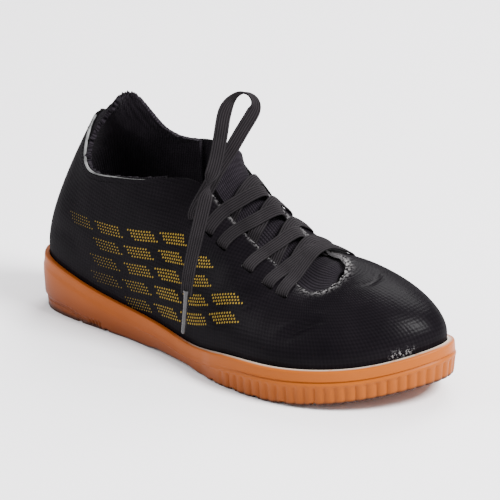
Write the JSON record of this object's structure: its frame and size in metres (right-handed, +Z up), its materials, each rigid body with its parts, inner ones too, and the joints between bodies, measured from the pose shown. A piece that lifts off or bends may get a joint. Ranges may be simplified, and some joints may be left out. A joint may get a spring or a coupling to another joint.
{
  "type": "training shoe",
  "caption": "Low-cut right training shoe with a gum cup sole, woven upper, knit heel tab, padded tongue and a flat lace with one loose end.",
  "frame": {"origin": "on the floor under the middle of the heel, on the flat of the tread, 57 mm ahead of the sole's rear end", "axes": "+X towards the toe, +Y towards the inner side of the foot, +Z up from the floor"},
  "size_m": [0.2878, 0.1089, 0.1539],
  "materials": {
    "gum": "satin gum rubber, translucent looking, darker under the tread",
    "insole": "matt dark fabric",
    "woven": "fine black mesh under a thin satin film, with gold dots on the quarters",
    "knit": "matt black rib knit",
    "piping": "pale grey satin rolled edge",
    "lace": "charcoal flat woven lace with lengthwise ribs",
    "aglet": "clear grey film round the lace's tip"
  },
  "bodies": {
    "root": {"outsole": "gum", "insole": "insole", "upper": "woven", "sock_lining": "knit", "tongue": "knit", "collar_piping_outer": "piping", "collar_piping_inner": "piping", "lace_bars": "lace", "lace_end": "lace", "aglet": "aglet"}
  },
  "joints": []
}
